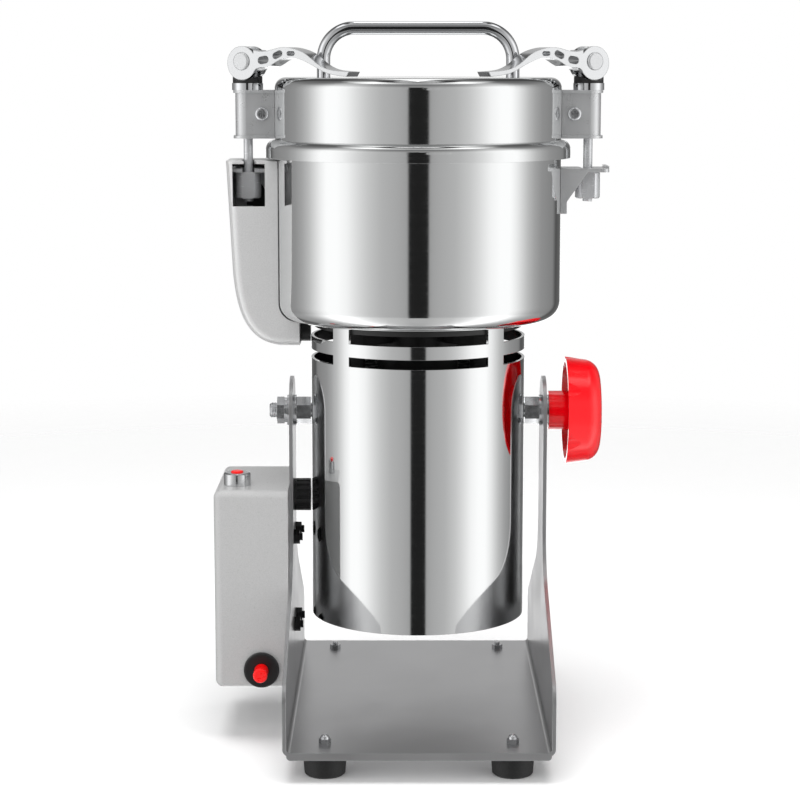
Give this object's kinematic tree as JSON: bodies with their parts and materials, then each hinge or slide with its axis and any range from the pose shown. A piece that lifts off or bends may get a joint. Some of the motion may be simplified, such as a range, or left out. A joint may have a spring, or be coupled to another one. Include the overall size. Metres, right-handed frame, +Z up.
{
  "type": "hammer mill",
  "caption": "Swing-type batch grinder: round bowl with a clamped lid on an upright motor, tilting between two side arms, with a control box and a clamp knob.",
  "frame": {"origin": "middle of the bounding box on the surface that the four feet stand on", "axes": "+Z up, -Y to the front, +X to the clamp knob; the head axis is 3.7 mm to the +X side of the origin"},
  "size_m": [0.213, 0.224, 0.3885],
  "materials": {
    "stand_sheet": "polished stainless sheet",
    "foot_rubber": "moulded rubber",
    "zinc_hardware": "satin zinc plate",
    "grey_paint": "satin grey powder coat",
    "cover_paint": "satin silver coat",
    "bezel_chrome": "bright plate",
    "button_red": "gloss",
    "black_plastic": "moulded",
    "terminal_plastic": "moulded",
    "knob_red": "gloss",
    "insert_brass": "machined",
    "polished_steel": "mirror polish",
    "black_paint": "satin",
    "cast_aluminium": "as cast",
    "lamination_steel": "stacked sheets, lacquered",
    "copper_winding": "enamelled copper wire",
    "commutator_copper": "turned copper bars",
    "carbon": "pressed graphite",
    "seal_rubber": "white food-grade rubber",
    "shaft_steel": "ground",
    "lever_cast": "polished casting, bright plated"
  },
  "bodies": {
    "stand": {"stand_frame": "stand_sheet", "rubber_feet": "foot_rubber", "foot_screws": "zinc_hardware", "foot_nuts": "zinc_hardware", "control_box_shell": "grey_paint", "control_box_screws": "zinc_hardware", "start_button_bezel": "bezel_chrome", "reset_breaker_body": "black_plastic", "inlet_gland": "black_plastic", "arm_grommet": "black_plastic", "terminal_block": "terminal_plastic"},
    "start_button": {"start_button_cap": "button_red"},
    "reset_button": {"reset_button": "button_red"},
    "knob": {"clamp_knob": "knob_red", "knob_insert": "insert_brass"},
    "head": {"motor_housing": "polished_steel", "housing_bottom_cover": "black_paint", "head_screws": "zinc_hardware", "pivot_studs": "zinc_hardware", "pivot_hardware": "zinc_hardware", "lower_motor_bracket": "cast_aluminium", "upper_motor_bracket": "cast_aluminium", "stator_core": "lamination_steel", "field_coils": "copper_winding", "brush_holders": "insert_brass", "carbon_brushes": "carbon", "motor_bearings": "shaft_steel", "shaft_seal": "black_plastic", "grinding_bowl": "polished_steel", "bowl_rim": "polished_steel", "tooth_ring": "shaft_steel", "left_latch_bracket": "polished_steel", "right_latch_bracket": "polished_steel", "interlock_cover": "cover_paint", "interlock_switch": "black_plastic", "cover_bush": "black_plastic"},
    "rotor": {"motor_shaft": "shaft_steel", "armature_core": "lamination_steel", "armature_winding": "copper_winding", "commutator": "commutator_copper", "cooling_fan": "cast_aluminium", "grinding_blades": "shaft_steel", "blade_hardware": "shaft_steel"},
    "lid": {"lid_shell": "polished_steel", "lid_inner_plate": "polished_steel", "lid_seal": "seal_rubber", "lid_handle": "polished_steel", "handle_nuts": "zinc_hardware", "latch_clips": "polished_steel", "clip_bolts": "zinc_hardware", "latch_rings": "shaft_steel", "cam_seats": "black_plastic"},
    "left_rod": {"left_latch_rod": "zinc_hardware", "left_barrel_nut": "zinc_hardware"},
    "left_lever": {"left_latch_lever": "lever_cast", "left_lever_pin": "zinc_hardware"},
    "right_rod": {"right_latch_rod": "zinc_hardware", "right_barrel_nut": "zinc_hardware"},
    "right_lever": {"right_latch_lever": "lever_cast", "right_lever_pin": "zinc_hardware"}
  },
  "joints": [
    {"name": "head_tilt", "type": "hinge", "parent": "stand", "child": "head", "pos_m": [0.0037, 0, 0.177], "axis": [1, 0, 0], "range_deg": [-90, 95]},
    {"name": "knob_turn", "type": "hinge", "parent": "head", "child": "knob", "pos_m": [0.0037, 0, 0.177], "axis": [1, 0, 0], "range_deg": [-180, 180]},
    {"name": "rotor_spin", "type": "hinge", "parent": "head", "child": "rotor", "pos_m": [0.0037, 0, 0.24], "axis": [0, 0, 1], "continuous": true},
    {"name": "lid_twist", "type": "hinge", "parent": "head", "child": "lid", "pos_m": [0.0037, 0, 0.3255], "axis": [0, 0, 1], "range_deg": [0, 20]},
    {"name": "left_rod_drop", "type": "slide", "parent": "lid", "child": "left_rod", "axis": [0, 0, -1], "range_m": [0, 0.0019]},
    {"name": "left_lever_swing", "type": "hinge", "parent": "left_rod", "child": "left_lever", "pos_m": [-0.0883, 0, 0.3672], "axis": [-0.4695, -0.8829, 0], "range_deg": [0, 165]},
    {"name": "right_rod_drop", "type": "slide", "parent": "lid", "child": "right_rod", "axis": [0, 0, -1], "range_m": [0, 0.0019]},
    {"name": "right_lever_swing", "type": "hinge", "parent": "right_rod", "child": "right_lever", "pos_m": [0.0957, 0, 0.3672], "axis": [-0.4695, 0.8829, 0], "range_deg": [0, 165]},
    {"name": "start_press", "type": "slide", "parent": "stand", "child": "start_button", "axis": [0, 0, -1], "range_m": [0, 0.0015], "stiffness_N_per_m": 800, "springref_m": -0.001},
    {"name": "reset_press", "type": "slide", "parent": "stand", "child": "reset_button", "axis": [0, 1, 0], "range_m": [0, 0.002], "stiffness_N_per_m": 800, "springref_m": -0.001}
  ],
  "couplings": [
    {"joint": "left_lever_swing", "follows": "left_rod_drop", "rad_per_m": 1515},
    {"joint": "right_lever_swing", "follows": "right_rod_drop", "rad_per_m": 1515}
  ]
}
